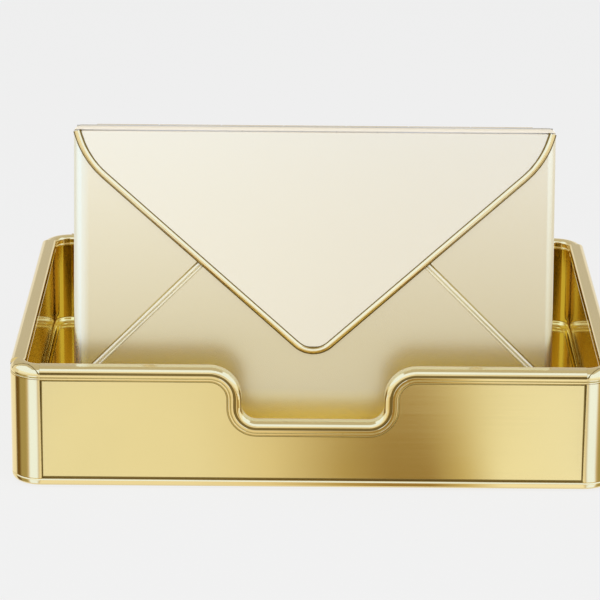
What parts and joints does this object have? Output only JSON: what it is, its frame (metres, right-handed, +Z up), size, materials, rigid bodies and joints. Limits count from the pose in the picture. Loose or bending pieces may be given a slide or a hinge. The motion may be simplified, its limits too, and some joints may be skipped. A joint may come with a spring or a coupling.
{
  "type": "envelope desk tray",
  "caption": "Open brass desk letter tray with a finger notch, and a leaning envelope-shaped letter pocket with a hinged, gold-edged flap.",
  "frame": {"origin": "on the table under the middle of the tray, the bottom centre of the bounding box", "axes": "+X to the right along the front, +Y from the front to the back, +Z up"},
  "size_m": [0.285, 0.225, 0.1614],
  "materials": {
    "satin_brass": "fine satin, lacquered",
    "polished_brass": "polished",
    "inner_brass": "polished, deeper gold",
    "trim_brass": "polished bead",
    "pearl_paint": "champagne pearl satin",
    "base_steel": "bronze powder coat",
    "fastener_steel": "brass-plated steel",
    "rubber_pad": "matt"
  },
  "bodies": {
    "tray": {"base_frame": "polished_brass", "bottom_plate": "base_steel", "bottom_screws": "fastener_steel", "floor_standoffs": "inner_brass", "floor_plate": "inner_brass", "foot_front_left": "rubber_pad", "foot_front_right": "rubber_pad", "foot_rear_left": "rubber_pad", "foot_rear_right": "rubber_pad", "front_panel": "satin_brass", "right_panel": "satin_brass", "rear_panel": "satin_brass", "left_panel": "satin_brass", "corner_post_front_left": "polished_brass", "corner_post_front_right": "polished_brass", "corner_post_rear_left": "polished_brass", "corner_post_rear_right": "polished_brass", "liner_front": "inner_brass", "liner_right": "inner_brass", "liner_rear": "inner_brass", "liner_left": "inner_brass", "liner_corners": "inner_brass", "rim_front": "polished_brass", "rim_right": "polished_brass", "rim_rear": "polished_brass", "rim_left": "polished_brass", "rim_corner_front_left": "polished_brass", "rim_corner_front_right": "polished_brass", "rim_corner_rear_left": "polished_brass", "rim_corner_rear_right": "polished_brass", "envelope_socket": "inner_brass", "socket_screws": "fastener_steel", "socket_nuts": "fastener_steel"},
    "envelope": {"envelope_frame": "pearl_paint", "envelope_back": "pearl_paint", "envelope_back_screws": "fastener_steel", "envelope_left_panel": "pearl_paint", "envelope_right_panel": "pearl_paint", "envelope_lower_panel": "pearl_paint", "seam_bead_left": "trim_brass", "seam_bead_right": "trim_brass", "hinge_body_leaf": "trim_brass", "hinge_body_rivets": "fastener_steel", "hinge_pin": "fastener_steel"},
    "flap": {"flap_panel": "pearl_paint", "flap_trim": "trim_brass", "hinge_flap_leaf": "trim_brass", "hinge_flap_rivets": "fastener_steel"}
  },
  "joints": [
    {"name": "envelope_lift", "type": "slide", "parent": "tray", "child": "envelope", "axis": [0, 0.1736, 0.9848], "range_m": [0, 0.06]},
    {"name": "flap_hinge", "type": "hinge", "parent": "envelope", "child": "flap", "pos_m": [0, -0.04413, 0.15729], "axis": [-1, 0, 0], "range_deg": [0, 180]}
  ]
}
